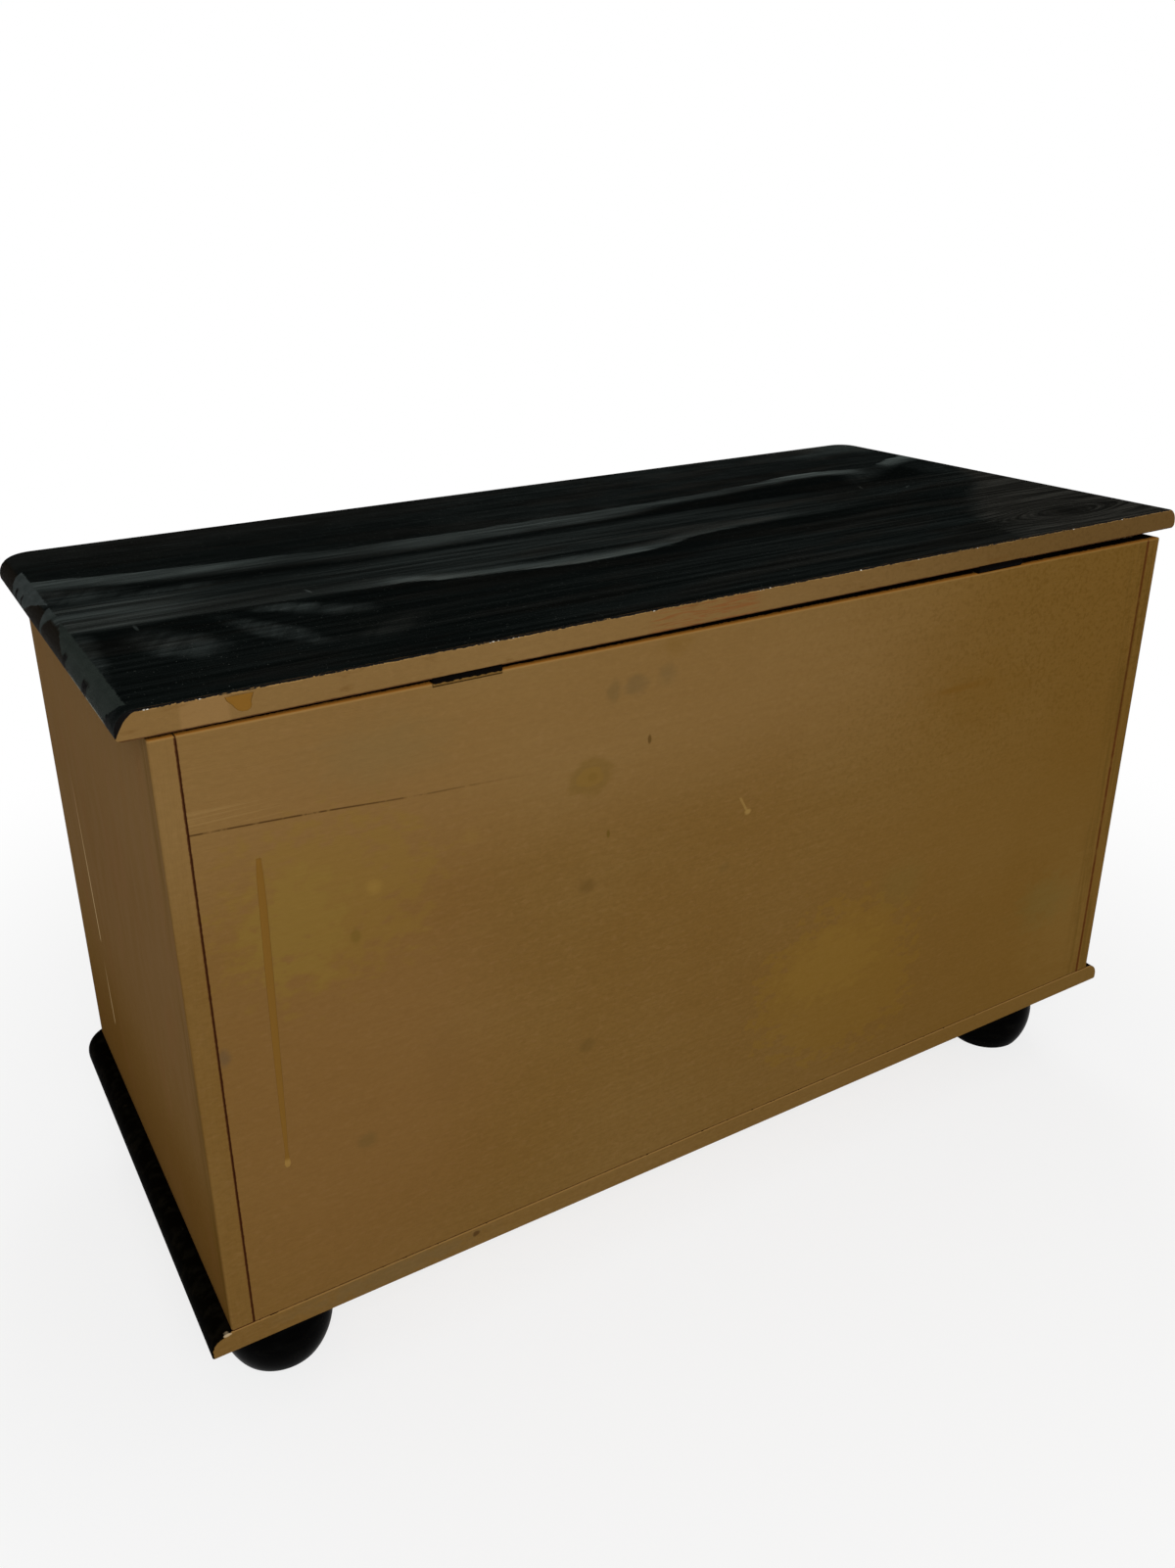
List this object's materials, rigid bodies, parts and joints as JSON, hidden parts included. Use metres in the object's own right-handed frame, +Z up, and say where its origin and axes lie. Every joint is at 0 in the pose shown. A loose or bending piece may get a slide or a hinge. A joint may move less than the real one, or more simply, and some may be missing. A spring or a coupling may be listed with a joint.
{
  "type": "storage chest",
  "caption": "Low painted pine storage chest: board box with a hinged lid overhanging the front and ends, on a board base with turned bun feet.",
  "frame": {"origin": "on the floor, under the middle of the closed chest's outline", "axes": "+Z up, front towards -Y, back with the hinges towards +Y, +X towards the right end seen from the front"},
  "size_m": [0.934, 0.4388, 0.5799],
  "materials": {
    "gold_paint": "satin gold-brown paint over pine boards",
    "black_paint": "black satin paint over pine; gold on the back edges of lid and base",
    "bare_pine": "bare planed pine",
    "hinge_steel": "dull browned steel",
    "zinc_steel": "dull zinc plate"
  },
  "bodies": {
    "carcass": {"back_board_1": "gold_paint", "back_board_2": "gold_paint", "back_board_3": "gold_paint", "back_board_4": "gold_paint", "base_board_1": "black_paint", "base_board_2": "black_paint", "base_board_3": "black_paint", "base_board_4": "black_paint", "base_board_5": "black_paint", "base_screws": "zinc_steel", "corner_block_back_left": "bare_pine", "corner_block_back_right": "bare_pine", "corner_block_front_left": "bare_pine", "corner_block_front_right": "bare_pine", "corner_block_screws": "zinc_steel", "foot_back_left": "black_paint", "foot_back_right": "black_paint", "foot_bolts": "zinc_steel", "foot_front_left": "black_paint", "foot_front_right": "black_paint", "foot_t_nuts": "zinc_steel", "front_board_1": "gold_paint", "front_board_2": "gold_paint", "front_board_3": "gold_paint", "front_board_4": "gold_paint", "hinge_body_leaf_left": "hinge_steel", "hinge_body_leaf_right": "hinge_steel", "hinge_body_screws": "zinc_steel", "hinge_pin_left": "hinge_steel", "hinge_pin_right": "hinge_steel", "left_end_board_1": "gold_paint", "left_end_board_2": "gold_paint", "left_end_board_3": "gold_paint", "left_end_board_4": "gold_paint", "right_end_board_1": "gold_paint", "right_end_board_2": "gold_paint", "right_end_board_3": "gold_paint", "right_end_board_4": "gold_paint"},
    "lid": {"hinge_lid_leaf_left": "hinge_steel", "hinge_lid_leaf_right": "hinge_steel", "hinge_lid_screws": "zinc_steel", "lid_batten_left": "bare_pine", "lid_batten_right": "bare_pine", "lid_batten_screws": "zinc_steel", "lid_board_1": "black_paint", "lid_board_2": "black_paint", "lid_board_3": "black_paint", "lid_board_4": "black_paint", "lid_board_5": "black_paint"}
  },
  "joints": [
    {"name": "lid_hinge", "type": "hinge", "parent": "carcass", "child": "lid", "pos_m": [-0.00001, 0.21621, 0.55672], "axis": [-1, 0, 0.0052], "range_deg": [0, 95]}
  ]
}
